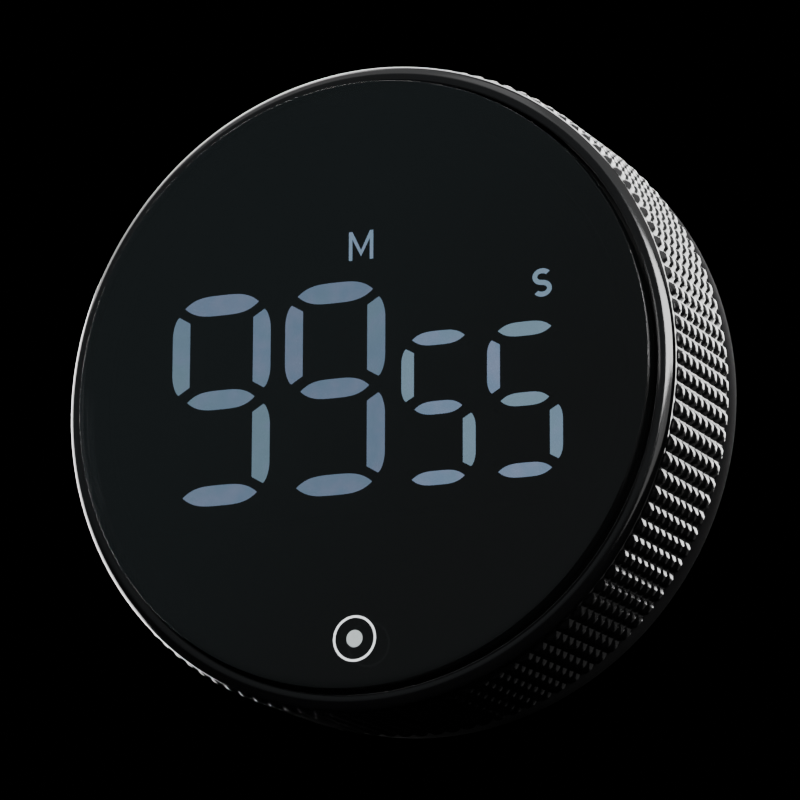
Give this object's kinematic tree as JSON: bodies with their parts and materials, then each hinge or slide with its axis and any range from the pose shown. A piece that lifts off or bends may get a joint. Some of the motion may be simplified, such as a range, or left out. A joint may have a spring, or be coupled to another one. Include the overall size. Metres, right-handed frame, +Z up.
{
  "type": "kitchen timer",
  "caption": "Round battery timer held by magnets, with a knurled dial ring that turns round a smoked press face over a lit minutes and seconds display.",
  "frame": {"origin": "centre of the flat magnetic back face, on the dial's axis", "axes": "+Y out of the back along the dial's axis, so the face looks towards -Y; +Z up as the digits read; +X to the reader's right"},
  "size_m": [0.078, 0.0265, 0.078],
  "materials": {
    "dial_black": "glossy black moulded plastic with a moulded knurl",
    "casing_black": "fine spark-eroded black plastic",
    "lens_smoked": "polished smoked acrylic",
    "light_guide": "frosted light guide, lit cool white",
    "reflector_black": "matt black moulded plastic",
    "display_laminate": "white solder mask on glass-fibre laminate",
    "board_laminate": "green solder mask on glass-fibre laminate",
    "component_black": "black moulded epoxy",
    "screw_steel": "zinc-plated steel",
    "contact_nickel": "nickel-plated spring steel",
    "gear_acetal": "natural white acetal",
    "cell_label": "printed foil label round a steel can",
    "magnet_nickel": "nickel-plated magnet",
    "wire_insulation": "soft wire insulation",
    "tape_black": "double-sided black foam tape"
  },
  "bodies": {
    "casing": {"battery_lower": "cell_label", "battery_upper": "cell_label", "board_connector": "component_black", "board_screw_1": "screw_steel", "board_screw_2": "screw_steel", "board_screw_3": "screw_steel", "buzzer": "component_black", "buzzer_lead_1": "wire_insulation", "buzzer_lead_2": "wire_insulation", "capacitor": "component_black", "contact_bridge": "contact_nickel", "contact_negative": "contact_nickel", "contact_positive": "contact_nickel", "controller_chip": "component_black", "cover_screw_1": "screw_steel", "cover_screw_2": "screw_steel", "cover_screw_3": "screw_steel", "cover_screw_4": "screw_steel", "crystal": "screw_steel", "digit_guide_1": "light_guide", "digit_guide_2": "light_guide", "digit_guide_3": "light_guide", "digit_guide_4": "light_guide", "display_board": "display_laminate", "display_reflector": "reflector_black", "encoder_body": "component_black", "front_frame": "casing_black", "letter_guide_m": "light_guide", "letter_guide_s": "light_guide", "magnet_lower": "magnet_nickel", "magnet_upper": "magnet_nickel", "main_board": "board_laminate", "rear_cover": "casing_black", "slide_switch_body": "screw_steel", "tact_switch_body": "component_black"},
    "dial": {"dial_ring": "dial_black", "ring_gear": "gear_acetal"},
    "pinion": {"encoder_pinion": "gear_acetal"},
    "face": {"lens": "lens_smoked", "lens_tape": "tape_black", "face_carrier": "reflector_black"},
    "plunger": {"tact_plunger": "gear_acetal"},
    "volume": {"volume_knob": "casing_black", "slide_switch_lever": "gear_acetal"},
    "door": {"battery_door": "casing_black"}
  },
  "joints": [
    {"name": "dial_turn", "type": "hinge", "parent": "casing", "child": "dial", "pos_m": [0, -0.0135, 0], "axis": [0, 1, 0], "continuous": true},
    {"name": "pinion_turn", "type": "hinge", "parent": "casing", "child": "pinion", "pos_m": [0.01698, -0.01075, 0.02425], "axis": [0, 1, 0], "continuous": true},
    {"name": "face_press", "type": "hinge", "parent": "casing", "child": "face", "pos_m": [0, -0.02115, 0.03355], "axis": [1, 0, 0], "range_deg": [0, 0.3], "stiffness_Nm_per_rad": 2, "springref_deg": -1.15},
    {"name": "plunger_press", "type": "slide", "parent": "casing", "child": "plunger", "axis": [0, 1, 0], "range_m": [0, 0.00035]},
    {"name": "volume_slide", "type": "slide", "parent": "casing", "child": "volume", "axis": [1, 0, 0], "range_m": [-0.002, 0.002]},
    {"name": "door_lift", "type": "slide", "parent": "casing", "child": "door", "axis": [0, 1, 0], "range_m": [0, 0.02]}
  ],
  "couplings": [
    {"joint": "pinion_turn", "follows": "dial_turn", "ratio": 7.1667},
    {"joint": "plunger_press", "follows": "face_press", "m_per_rad": 0.06405}
  ]
}
